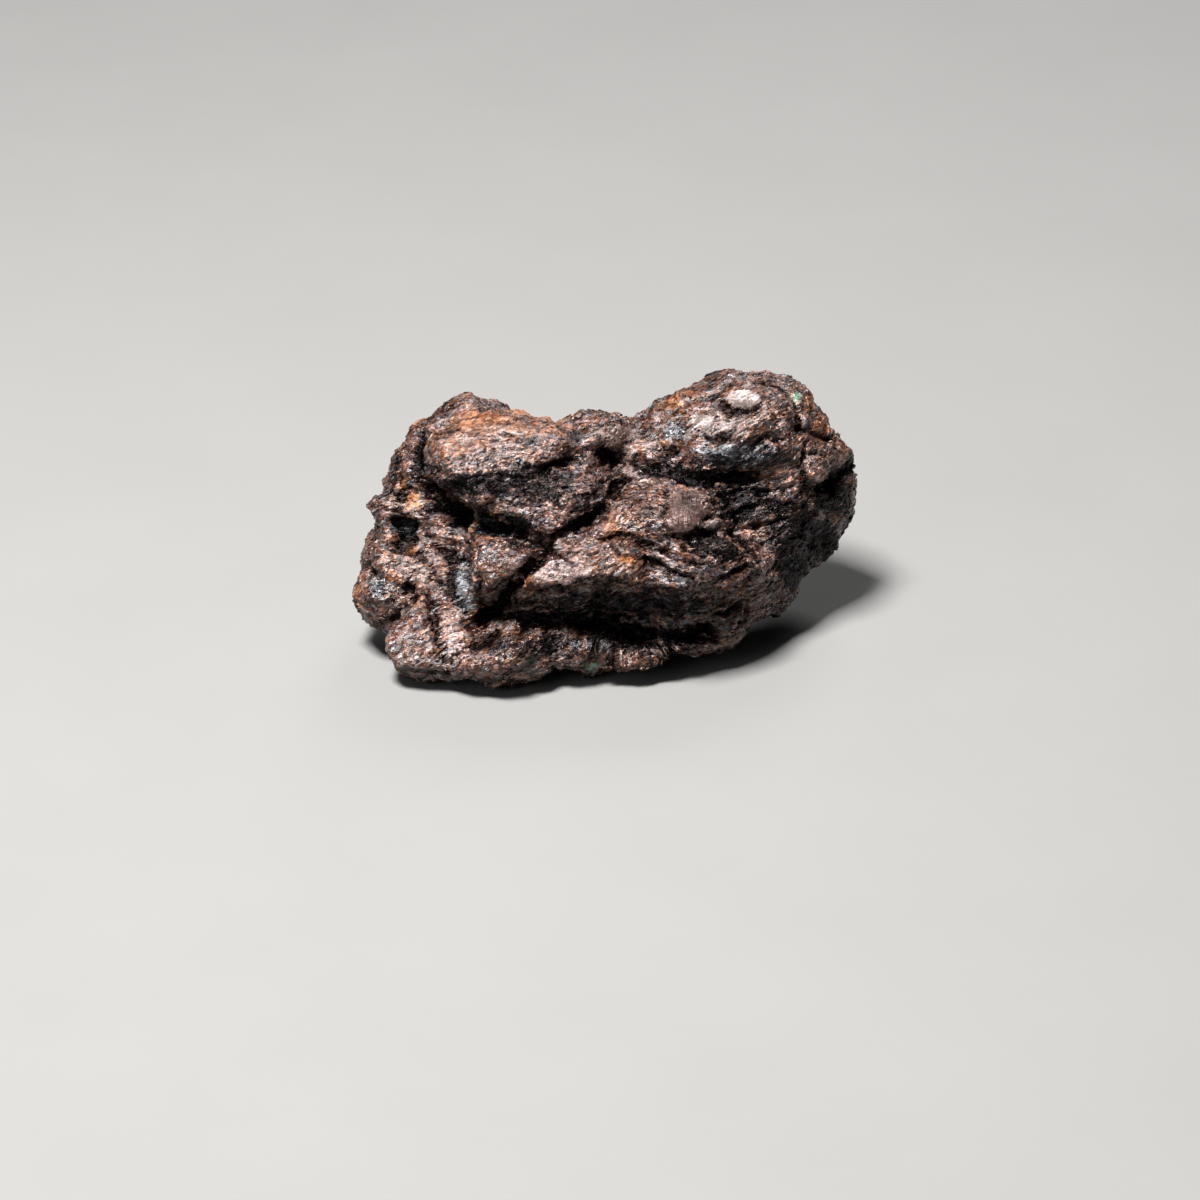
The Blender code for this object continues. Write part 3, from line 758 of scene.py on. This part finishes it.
@dataclass
class FlakeCrust:
    """Thousands of small angular iron flakes that stand half sunk in the skin, most of them on the broken face."""

    name: str = "iron_flakes"
    count: int = 13000
    reach: Point2 = (0.09, 0.38)
    narrow: Point2 = (0.3, 0.7)
    thick: Point2 = (0.04, 0.08)
    lift: Point2 = (-0.05, 0.01)
    tilt: float = 0.3
    swing: float = 0.6
    seed: int = 5

    def build(self, skin: bpy.types.Object) -> bpy.types.Object:
        """Scatters the flakes over the skin.

        A flake is a four-sided block whose top is smaller than its foot. Its corners are at a quarter turn from
        each other, give or take, at random distances. It lies along the flow of the iron, turned and tilted by
        random amounts, and carries the masks of the spot that it stands on.

        Args:
            skin: the finished skin.

        Returns:
            The flakes as one mesh.
        """
        draw = np.random.default_rng(self.seed)
        mesh = skin.data
        places = read_places(mesh)
        corners = read_quads(mesh)
        chosen, share = self.footing(draw, places, corners, read_normals(mesh))
        foot = np.einsum("nc,ncd->nd", share, places[chosen])
        up = unit(np.einsum("nc,ncd->nd", share, read_normals(mesh)[chosen]))
        up = unit(up + self.tilt * draw.normal(0.0, 0.6, foot.shape))
        along = np.outer(flow_slope(foot[:, 0]), SIGHT.up) + np.array((1.0, 0.0, 0.0))
        along = unit(along + self.swing * draw.normal(0.0, 0.6, foot.shape))
        along = unit(along - np.sum(along * up, axis=1)[:, None] * up)
        across = np.cross(up, along)
        angle = (np.arange(4) + draw.uniform(-0.3, 0.3, (self.count, 4))) * (math.pi / 2.0)
        reach = draw.uniform(*self.reach, (self.count, 1)) * draw.uniform(0.7, 1.15, (self.count, 4))
        first = reach * np.cos(angle)
        second = reach * np.sin(angle) * draw.uniform(*self.narrow, (self.count, 1))
        thick = draw.uniform(*self.thick, (self.count, 1))
        lift = draw.uniform(*self.lift, (self.count, 1))
        top = draw.uniform(0.6, 0.9, (self.count, 1))
        rings = []
        for size, height in ((top, lift + thick), (np.ones_like(top), lift - thick)):
            ring = foot[:, None, :] + (size * first)[..., None] * along[:, None, :]
            ring = ring + (size * second)[..., None] * across[:, None, :] + height[..., None] * up[:, None, :]
            rings.append(ring)
        points = np.concatenate(rings, axis=1).reshape(-1, 3)
        points[:, 2] = np.maximum(points[:, 2], 0.0)
        sides = [(k, k + 4, (k + 1) % 4 + 4, (k + 1) % 4) for k in range(4)]
        block = np.array([(0, 1, 2, 3), (7, 6, 5, 4), *sides])
        faces = (np.arange(self.count)[:, None, None] * 8 + block[None]).reshape(-1, 4)
        flakes_object = mesh_object(self.name, points, faces)
        made = flakes_object.data
        # The flakes carry the skin's painted shade and painted light masks, and the crease and underside numbers from
        # which the finish paints shade.
        for tone in Tone:
            write_number(made, tone.value, np.repeat(self.carried(mesh, tone.value, chosen, share), 8))
        for name in ("sunk", "under"):
            write_number(made, name, np.repeat(self.carried(mesh, name, chosen, share), 8))
        write_number(made, "number", np.repeat(draw.uniform(0.0, 1.0, self.count), 8))
        write_vector(made, "flow", flow(points))
        made.shade_flat()
        return flakes_object

    def footing(self, draw: np.random.Generator, places: Array, corners: Array, normals: Array
                ) -> tuple[Array, Array]:
        """Draws where the flakes stand.

        A quad of the skin is as likely as its area, more so on the broken face, and never under the stone. The
        place in the quad is a share of each corner: the products of two random numbers and their rests.

        Args:
            draw: the source of random numbers.
            places: the skin's points.
            corners: the four points of each of its quads.
            normals: the direction at each point.

        Returns:
            The four corners of each flake's quad, and their shares.
        """
        held = places[corners]
        area = np.linalg.norm(np.cross(held[:, 2] - held[:, 0], held[:, 3] - held[:, 1]), axis=1)
        middle = held.mean(axis=1)
        facing = normals[corners].mean(axis=1)
        weight = area * (1.0 + 1.2 * eased((facing @ SIGHT.to_eye + 0.2) / 0.5))
        weight *= (middle[:, 2] > 0.35) | (facing[:, 2] > -0.4)
        weight *= 1.0 - calm_share(SIGHT.spots(middle))
        quads = draw.choice(len(corners), size=self.count, p=weight / weight.sum())
        one, other = draw.uniform(0.0, 1.0, (2, self.count))
        share = np.column_stack(((1 - one) * (1 - other), one * (1 - other), one * other, (1 - one) * other))
        return corners[quads], share

    def carried(self, mesh: bpy.types.Mesh, name: str, chosen: Array, share: Array) -> Array:
        """What a named attribute of the skin is at each flake's foot."""
        return np.sum(read_numbers(mesh, name)[chosen] * share, axis=1)


def sunkenness(mesh: bpy.types.Mesh, places: Array) -> Array:
    """How far each point is sunk between its neighbours, 0 on a crest and 1 in a crease.

    Each point's place is compared, along its normal, with the mean place of the points around it, at three
    reaches; every round of averaging over the edges widens the reach.

    Args:
        mesh: the skin's mesh.
        places: its points in millimetres.

    Returns:
        One number from 0 to 1 for each point.
    """
    ends = np.empty(len(mesh.edges) * 2, dtype=np.int32)
    mesh.edges.foreach_get("vertices", ends)
    one, other = ends[0::2], ends[1::2]
    degree = np.bincount(ends, minlength=len(places))
    normals = read_normals(mesh)
    mean = places
    sunk = np.zeros(len(places))
    for rounds, weight in ((3, 3.0), (9, 1.4), (24, 0.7)):
        for _ in range(rounds):
            total = [np.bincount(one, mean[other, k], len(places)) + np.bincount(other, mean[one, k], len(places))
                     for k in range(3)]
            mean = np.column_stack(total) / degree[:, None]
        sunk += weight * np.sum((mean - places) * normals, axis=1)
    return np.clip(0.5 + 0.5 * sunk, 0.0, 1.0)


def mesh_object(name: str, places: Array, faces: Array) -> bpy.types.Object:
    """Makes an object from places in millimetres and rows of point numbers, and links it to the scene."""
    mesh = bpy.data.meshes.new(name)
    mesh.from_pydata((places * MM).tolist(), [], faces.tolist())
    mesh.update()
    thing = bpy.data.objects.new(name, mesh)
    bpy.context.scene.collection.objects.link(thing)
    return thing


def bake(thing: bpy.types.Object) -> None:
    """Puts an object's evaluated mesh in place of its own and clears its modifiers."""
    bpy.context.view_layer.update()
    shaped = thing.evaluated_get(bpy.context.evaluated_depsgraph_get())
    mesh = bpy.data.meshes.new_from_object(shaped)
    thing.modifiers.clear()
    thing.data = mesh


def read_places(mesh: bpy.types.Mesh) -> Array:
    """A mesh's points in millimetres."""
    flat = np.empty(len(mesh.vertices) * 3, dtype=np.float32)
    mesh.vertices.foreach_get("co", flat)
    return flat.reshape(-1, 3).astype(float) / MM


def read_normals(mesh: bpy.types.Mesh) -> Array:
    """A mesh's outward direction at each point."""
    flat = np.empty(len(mesh.vertices) * 3, dtype=np.float32)
    mesh.vertex_normals.foreach_get("vector", flat)
    return flat.reshape(-1, 3).astype(float)


def read_quads(mesh: bpy.types.Mesh) -> Array:
    """The four point numbers of each of a mesh's faces."""
    flat = np.empty(len(mesh.loops), dtype=np.int32)
    mesh.loops.foreach_get("vertex_index", flat)
    return flat.reshape(-1, 4)


def read_numbers(mesh: bpy.types.Mesh, name: str) -> Array:
    """A named attribute's number at each point."""
    flat = np.empty(len(mesh.vertices), dtype=np.float32)
    mesh.attributes[name].data.foreach_get("value", flat)
    return flat.astype(float)


def write_places(mesh: bpy.types.Mesh, places: Array) -> None:
    """Puts a mesh's points at places given in millimetres."""
    mesh.vertices.foreach_set("co", (places * MM).astype(np.float32).ravel())
    mesh.update()


def write_number(mesh: bpy.types.Mesh, name: str, values: Array) -> None:
    """Writes one number to each point as a named attribute."""
    mesh.attributes.new(name, "FLOAT", "POINT").data.foreach_set("value", values.astype(np.float32))


def write_vector(mesh: bpy.types.Mesh, name: str, values: Array) -> None:
    """Writes three numbers to each point as a named attribute."""
    held = mesh.attributes.new(name, "FLOAT_VECTOR", "POINT")
    held.data.foreach_set("vector", values.astype(np.float32).ravel())


@dataclass
class Graph:
    """Adds nodes to a tree and joins them, so that a finish reads from top to bottom."""

    tree: bpy.types.NodeTree

    def add(self, kind: str, inputs: dict[str | int, object] | None = None, **settings: object) -> bpy.types.Node:
        """Adds a node, sets its properties, and sets or joins its inputs.

        Args:
            kind: the node's type.
            inputs: for each input's name or number, a constant or the output socket that feeds it.
            settings: the node's own properties.

        Returns:
            The node.
        """
        node = self.tree.nodes.new(kind)
        for key, value in settings.items():
            setattr(node, key, value)
        for key, value in (inputs or {}).items():
            if isinstance(value, bpy.types.NodeSocket):
                self.tree.links.new(value, node.inputs[key])
            else:
                node.inputs[key].default_value = value
        return node

    def attribute(self, name: str) -> bpy.types.NodeSocket:
        """The value of a named attribute."""
        return self.add("ShaderNodeAttribute", attribute_name=name).outputs["Fac"]

    def vector(self, name: str) -> bpy.types.NodeSocket:
        """The vector of a named attribute."""
        return self.add("ShaderNodeAttribute", attribute_name=name).outputs["Vector"]

    def math(self, operation: str, *values: object, clamp: bool = False) -> bpy.types.NodeSocket:
        """The result of a sum on numbers or sockets."""
        inputs = dict(enumerate(values))
        return self.add("ShaderNodeMath", inputs, operation=operation, use_clamp=clamp).outputs[0]

    def blend(self, share: object, first: object, second: object, how: str = "MIX") -> bpy.types.NodeSocket:
        """A blend of two colours."""
        inputs = {"Factor": share, "A": first, "B": second}
        node = self.tree.nodes.new("ShaderNodeMix")
        node.data_type = "RGBA"
        node.blend_type = how
        for key, number in (("Factor", 0), ("A", 6), ("B", 7)):
            value = inputs[key]
            if isinstance(value, bpy.types.NodeSocket):
                self.tree.links.new(value, node.inputs[number])
            else:
                node.inputs[number].default_value = value
        return node.outputs[2]

    def noise(self, vector: object, scale: float, detail: float = 3.0, rough: float = 0.55) -> bpy.types.NodeSocket:
        """Noise from 0 to 1."""
        inputs = {"Vector": vector, "Scale": scale, "Detail": detail, "Roughness": rough}
        return self.add("ShaderNodeTexNoise", inputs).outputs[0]

    def span(self, value: object, low: float, high: float, to_low: float = 0.0, to_high: float = 1.0
             ) -> bpy.types.NodeSocket:
        """A value's span carried over to another span, and held to it."""
        inputs = {0: value, 1: low, 2: high, 3: to_low, 4: to_high}
        return self.add("ShaderNodeMapRange", inputs, clamp=True).outputs[0]


def colour(value: Colour) -> tuple[float, float, float, float]:
    """A colour with full cover."""
    return (*value, 1.0)


def glint_group() -> bpy.types.NodeTree:
    """A shader group that tilts the normal of each tiny flake its own way, so that a few of them flash.

    The flakes are the cells of a Voronoi pattern on the given coordinates. Each cell's random colour less a
    half, times the tilt, is added to the normal.
    """
    tree = bpy.data.node_groups.new("flake_glints", "ShaderNodeTree")
    tree.interface.new_socket("Coordinates", in_out="INPUT", socket_type="NodeSocketVector")
    tree.interface.new_socket("Flakes per mm", in_out="INPUT", socket_type="NodeSocketFloat")
    tree.interface.new_socket("Tilt", in_out="INPUT", socket_type="NodeSocketFloat")
    tree.interface.new_socket("Normal", in_out="OUTPUT", socket_type="NodeSocketVector")
    tree.interface.new_socket("Number", in_out="OUTPUT", socket_type="NodeSocketFloat")
    tree.interface.new_socket("Kind", in_out="OUTPUT", socket_type="NodeSocketFloat")
    graph = Graph(tree)
    given = graph.add("NodeGroupInput")
    normal = graph.add("ShaderNodeNewGeometry").outputs["Normal"]
    cells = graph.add("ShaderNodeTexVoronoi",
                      {"Vector": given.outputs["Coordinates"], "Scale": given.outputs["Flakes per mm"]})
    lean = graph.add("ShaderNodeVectorMath", {0: cells.outputs["Color"], 1: (0.5, 0.5, 0.5)}, operation="SUBTRACT")
    scaled = graph.add("ShaderNodeVectorMath", {0: lean.outputs[0], "Scale": given.outputs["Tilt"]}, operation="SCALE")
    added = graph.add("ShaderNodeVectorMath", {0: normal, 1: scaled.outputs[0]}, operation="ADD")
    level = graph.add("ShaderNodeVectorMath", {0: added.outputs[0]}, operation="NORMALIZE")
    apart = graph.add("ShaderNodeSeparateColor", {0: cells.outputs["Color"]})
    graph.add("NodeGroupOutput", {"Normal": level.outputs[0], "Number": apart.outputs[2], "Kind": apart.outputs[0]})
    return tree


@dataclass(frozen=True)
class WeatheredIron:
    """Dark oily iron with rust, steel-blue and pale patches, broken into glinting flakes, with painted shade that
    blackens its creases, its undersides and the drawn shade patches, and painted light in many pale patches.
    """

    name: str = "weathered_iron"
    deep: Colour = (0.010, 0.006, 0.006)
    brown: Colour = (0.082, 0.032, 0.021)
    crest: Colour = (0.30, 0.195, 0.172)
    rust: Colour = (0.17, 0.050, 0.017)
    rust_light: Colour = (0.46, 0.19, 0.085)
    ochre: Colour = (0.52, 0.17, 0.025)
    steel: Colour = (0.020, 0.024, 0.030)
    steel_light: Colour = (0.17, 0.18, 0.20)
    crystal: Colour = (0.40, 0.33, 0.315)
    crystal_shade: Colour = (0.27, 0.20, 0.185)
    grain_dark: Colour = (0.080, 0.040, 0.033)
    grain_light: Colour = (0.20, 0.115, 0.100)
    # Laid by the pale tone: partly painted light on lit faces, partly the iron's own pale tone.
    pale: Colour = (0.52, 0.40, 0.37)
    green: Colour = (0.16, 0.28, 0.20)
    # Laid by the shade tone: painted shade where it is drawn, random darker mottle on the undrawn sides.
    shade_and_mottle_black: Colour = (0.010, 0.010, 0.012)
    flakes_per_mm: float = 3.8
    flake_tilt: float = 0.45
    bump_depth: float = 0.00007

    def material(self, glints: bpy.types.NodeTree) -> bpy.types.Material:
        """Builds the material.

        Args:
            glints: the group that tilts the flakes.

        Returns:
            The material, which reads the skin's attributes.
        """
        made = bpy.data.materials.new(self.name)
        made.use_nodes = True
        graph = Graph(made.node_tree)
        shader = made.node_tree.nodes["Principled BSDF"]
        where = graph.add("ShaderNodeTexCoord").outputs["Object"]
        per_mm = graph.add("ShaderNodeVectorMath", {0: where, "Scale": 1000.0}, operation="SCALE").outputs[0]
        sunk = graph.attribute("sunk")
        coarse = graph.noise(per_mm, 0.35, 4.0, 0.6)
        laid = graph.add("ShaderNodeMapping", {"Vector": graph.vector("flow"), "Scale": (0.7, 1.4, 1.1)}).outputs[0]
        grain = graph.noise(laid, 1.7, 4.0, 0.65)
        speck = graph.noise(laid, 5.5, 3.0, 0.7)
        streak_at = graph.add("ShaderNodeMapping", {"Vector": graph.vector("flow"), "Scale": (0.8, 2.6, 1.4)})
        streak = graph.noise(streak_at.outputs[0], 1.5, 5.0, 0.6)
        fleck = graph.add("ShaderNodeGroup", node_tree=glints)
        made.node_tree.links.new(laid, fleck.inputs["Coordinates"])
        fleck.inputs["Flakes per mm"].default_value = self.flakes_per_mm
        fleck.inputs["Tilt"].default_value = self.flake_tilt
        tint = graph.math("ADD", graph.math("MULTIPLY", grain, 0.34), graph.math("MULTIPLY", streak, 0.12))
        tint = graph.math("ADD", tint, graph.math("MULTIPLY", speck, 0.34))
        tint = graph.math("ADD", tint, graph.math("MULTIPLY", fleck.outputs["Number"], 0.20))
        tint = graph.math("ADD", tint, graph.span(graph.attribute("number"), 0.0, 1.0, -0.05, 0.06))
        base = graph.blend(graph.span(tint, 0.40, 0.50), colour(self.deep), colour(self.brown))
        base = graph.blend(graph.span(tint, 0.50, 0.64), base, colour(self.crest))
        warm = graph.math("MULTIPLY", graph.span(coarse, 0.45, 0.65), graph.span(speck, 0.42, 0.6))
        base = graph.blend(graph.math("MULTIPLY", warm, 0.7), base, colour(self.rust))
        cool = graph.blend(graph.span(tint, 0.44, 0.6), colour(self.steel), colour(self.steel_light))
        base = graph.blend(graph.span(fleck.outputs["Kind"], 0.76, 0.80, 0.0, 0.75), base, cool)
        warm_fleck = graph.blend(graph.span(speck, 0.42, 0.58), colour(self.rust), colour(self.rust_light))
        base = graph.blend(graph.span(fleck.outputs["Kind"], 0.13, 0.17, 0.55, 0.0), base, warm_fleck)
        base = self.patch(graph, base, Tone.STEEL, cool, grain)
        # The colour laid where the pale tone is: painted light and sheen on the lit faces of the saddle, cap, ledge and
        # plates, partly the iron's own pale tone.
        light = graph.blend(graph.span(speck, 0.4, 0.6), colour(self.crest), colour(self.pale))
        base = self.patch(graph, base, Tone.LIT_AND_PALE, light, grain)
        orange = graph.blend(graph.span(tint, 0.44, 0.58), colour(self.rust), colour(self.rust_light))
        orange = graph.blend(graph.span(speck, 0.36, 0.42, 0.7, 0.0), orange, colour(self.deep))
        base = self.patch(graph, base, Tone.RUST, orange, graph.noise(per_mm, 1.3, 4.0, 0.7))
        ochre = graph.blend(graph.span(grain, 0.42, 0.56), colour(self.rust), colour(self.ochre))
        base = self.patch(graph, base, Tone.OCHRE, ochre, speck)
        base = self.patch(graph, base, Tone.GREEN, self.green, grain)
        lines_at = graph.add("ShaderNodeMapping", {"Vector": graph.vector("flow"),
                                                   "Rotation": (0.0, 0.0, math.radians(-32.0)), "Scale": (9.0, 1.2, 1.2)})
        lines = graph.noise(lines_at.outputs[0], 1.0, 2.0, 0.5)
        crystal = graph.blend(graph.span(lines, 0.35, 0.65), colour(self.grain_dark), colour(self.grain_light))
        base = graph.blend(graph.span(graph.attribute("grain"), 0.3, 0.6), base, crystal)
        clear = graph.span(graph.attribute("crystal"), 0.35, 0.55)
        glassy = graph.blend(graph.span(grain, 0.4, 0.6), colour(self.crystal_shade), colour(self.crystal))
        base = graph.blend(clear, base, glassy)
        # Painted shade: where the drawn shade patches lie, and on the random darker mottles of the undrawn sides, the
        # colour is taken almost to zero.
        shade_and_dark_mottle = self.present(graph, Tone.DARK, streak)
        shade_and_dark_mottle = graph.math("MULTIPLY", shade_and_dark_mottle, graph.math("SUBTRACT", 1.0, clear))
        # dim marks the painted shade, the creases and the faces that look down; there the iron is made more metallic
        # and loses its coat, so these places reflect little.
        dim = graph.math("MAXIMUM", shade_and_dark_mottle, graph.span(sunk, 0.52, 0.8))
        dim = graph.math("MAXIMUM", dim, graph.math("MULTIPLY", graph.attribute("under"), 0.75))
        base = graph.blend(graph.math("MULTIPLY", shade_and_dark_mottle, 0.9), base, colour(self.shade_and_mottle_black))
        # Painted shade: the colour is darkened in creases and on faces that look down, and varied by a coarse random
        # brightness.
        shade = graph.math("MULTIPLY", graph.span(sunk, 0.45, 0.8, 1.0, 0.1),
                           graph.span(graph.attribute("under"), 0.0, 1.0, 1.0, 0.45))
        shade = graph.math("MULTIPLY", shade, graph.span(graph.noise(laid, 0.6, 2.0, 0.5), 0.36, 0.62, 0.66, 1.2))
        shaded = graph.add("ShaderNodeCombineColor", {0: shade, 1: shade, 2: shade}).outputs[0]
        base = graph.blend(1.0, base, shaded, "MULTIPLY")
        rusty = graph.math("MAXIMUM", graph.attribute("rust"), graph.attribute("ochre"))
        metal = graph.span(graph.math("ADD", rusty, graph.math("MULTIPLY", warm, 0.6)), 0.0, 0.9, 0.3, 0.03)
        metal = graph.math("MAXIMUM", metal, graph.math("MULTIPLY", dim, 0.92))
        rough = graph.span(speck, 0.38, 0.62, 0.13, 0.36)
        rough = graph.math("ADD", rough, graph.math("MULTIPLY", rusty, 0.14), clamp=True)
        fine = graph.math("ADD", graph.noise(laid, 6.0, 3.0, 0.65), graph.math("MULTIPLY", grain, 0.6))
        etched = graph.math("MULTIPLY", lines, graph.attribute("grain"))
        fine = graph.math("ADD", fine, graph.math("MULTIPLY", etched, 1.2))
        bump = graph.add("ShaderNodeBump", {"Strength": 1.0, "Distance": self.bump_depth, "Height": fine,
                                            "Normal": fleck.outputs["Normal"]})
        coat = graph.span(fleck.outputs["Number"], 0.2, 0.9, 0.0, 0.7)
        coat = graph.math("MULTIPLY", coat, graph.span(dim, 0.0, 1.0, 1.0, 0.08))
        for name, value in (("Base Color", base), ("Metallic", metal), ("Roughness", rough), ("Coat Weight", coat),
                            ("Normal", bump.outputs[0])):
            made.node_tree.links.new(value, shader.inputs[name])
        made.node_tree.links.new(bump.outputs[0], shader.inputs["Coat Normal"])
        shader.inputs["Coat Roughness"].default_value = 0.12
        shader.inputs["IOR"].default_value = 1.55
        return made

    def patch(self, graph: Graph, under: object, tone: Tone, over: object, breakup: object) -> bpy.types.NodeSocket:
        """Lays one tone over a colour where its mask, broken up by noise, is strong enough."""
        laid = over if isinstance(over, bpy.types.NodeSocket) else colour(over)
        return graph.blend(self.present(graph, tone, breakup), under, laid)

    def present(self, graph: Graph, tone: Tone, breakup: object) -> bpy.types.NodeSocket:
        """How much of a tone there is: its mask with noise added, cut between two levels."""
        mask = graph.attribute(tone.value)
        swing = graph.math("MULTIPLY", graph.math("SUBTRACT", breakup, 0.5), 2.2)
        cut = graph.span(graph.math("ADD", mask, swing), 0.42, 0.78)
        return graph.math("MULTIPLY", cut, graph.span(mask, 0.02, 0.25))


@dataclass(frozen=True)
class PaleFloor:
    """Matt off-white paper with the faintest mottle."""

    name: str = "pale_paper"
    tint: Colour = (0.29, 0.2875, 0.282)

    def material(self) -> bpy.types.Material:
        """Builds the material."""
        made = bpy.data.materials.new(self.name)
        made.use_nodes = True
        graph = Graph(made.node_tree)
        shader = made.node_tree.nodes["Principled BSDF"]
        where = graph.add("ShaderNodeTexCoord").outputs["Object"]
        mottle = graph.noise(where, 60.0, 3.0)
        darker = tuple(0.97 * part for part in self.tint)
        tone = graph.blend(graph.span(mottle, 0.3, 0.7), colour(self.tint), colour(darker))
        made.node_tree.links.new(tone, shader.inputs["Base Color"])
        shader.inputs["Roughness"].default_value = 0.9
        return made


class LightRole(Enum):
    """What a lamp is for."""

    KEY = "key_light"
    FILL = "fill_light"
    RIM = "rim_light"


@dataclass(frozen=True)
class Lamp:
    """A square soft light: where it is and how large, in metres, and its power in watts."""

    role: LightRole
    place: Point3
    size: float
    watts: float
    tint: Colour = (1.0, 1.0, 1.0)


@dataclass
class Studio:
    """The floor, the lamps, the dim surround and the photograph's camera."""

    floor_size: float = 3.0
    surround: Colour = (0.014, 0.0145, 0.0155)
    lens: float = 100.0
    sensor: float = 24.0
    distance: float = 0.396
    aim: Point2 = (-0.5, 2.6)
    lamps: tuple[Lamp, ...] = (
        Lamp(LightRole.KEY, (-0.08, -0.08, 0.335), 0.09, 2.9, (1.0, 0.99, 0.975)),
        Lamp(LightRole.FILL, (-0.25, -0.30, 0.20), 0.20, 0.18, (0.95, 0.97, 1.0)),
        Lamp(LightRole.RIM, (0.08, 0.26, 0.25), 0.12, 0.4),
    )

    def floor(self) -> bpy.types.Object:
        """A flat square under the stone."""
        half = self.floor_size / MM / 2.0
        corners = np.array([(-half, -half, 0.0), (half, -half, 0.0), (half, half, 0.0), (-half, half, 0.0)])
        floor = mesh_object("pale_floor", corners, np.array([[0, 1, 2, 3]]))
        floor.data.materials.append(PaleFloor().material())
        return floor

    def light(self) -> None:
        """Hangs the lamps, each turned to the stone's middle, and sets the surround."""
        middle = Vector((0.0, 0.0, 0.009))
        for lamp in self.lamps:
            data = bpy.data.lights.new(lamp.role.value, "AREA")
            data.size = lamp.size
            data.energy = lamp.watts
            data.color = lamp.tint
            thing = bpy.data.objects.new(lamp.role.value, data)
            thing.location = lamp.place
            thing.rotation_mode = "QUATERNION"
            thing.rotation_quaternion = (middle - Vector(lamp.place)).to_track_quat("-Z", "Y")
            bpy.context.scene.collection.objects.link(thing)
        world = bpy.data.worlds.new("studio")
        world.use_nodes = True
        world.node_tree.nodes["Background"].inputs[0].default_value = colour(self.surround)
        bpy.context.scene.world = world

    def camera(self) -> bpy.types.Object:
        """The camera at the photograph's angle, aimed in the sight plane."""
        data = bpy.data.cameras.new("photo_camera")
        data.sensor_width = self.sensor
        data.sensor_height = self.sensor
        data.lens = self.lens
        data.clip_start = 0.01
        data.clip_end = 10.0
        thing = bpy.data.objects.new("photo_camera", data)
        target = (np.array((self.aim[0], 0.0, 0.0)) + SIGHT.up * self.aim[1]) * MM
        thing.location = Vector(target + SIGHT.to_eye * self.distance)
        thing.rotation_mode = "QUATERNION"
        thing.rotation_quaternion = Vector(-SIGHT.to_eye).to_track_quat("-Z", "Y")
        bpy.context.scene.collection.objects.link(thing)
        bpy.context.scene.camera = thing
        return thing


def corners(box: tuple[Vector, Vector]) -> list[list[float]]:
    """A box's two corners as plain lists."""
    return [[float(part) for part in corner] for corner in box]


def main() -> None:
    """Builds the stone and the studio."""
    logging.basicConfig(level=logging.INFO, format="%(name)s: %(message)s")
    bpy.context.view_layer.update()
    bpy.context.scene.view_settings.view_transform = "Standard"
    skin = StoneSkin().build()
    skin.data.materials.clear()
    skin.data.materials.append(WeatheredIron().material(glint_group()))
    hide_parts(STONE_NODE)
    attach(skin, BODY)
    log.info("%s: %d points, %d faces", skin.name, len(skin.data.vertices), len(skin.data.polygons))
    crust = FlakeCrust().build(skin)
    crust.data.materials.append(skin.data.materials[0])
    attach(crust, BODY)
    log.info("%s: %d points, %d faces", crust.name, len(crust.data.vertices), len(crust.data.polygons))
    studio = Studio()
    studio.floor()
    studio.light()
    studio.camera()
    bpy.context.view_layer.update()


if __name__ == "__main__":
    main()
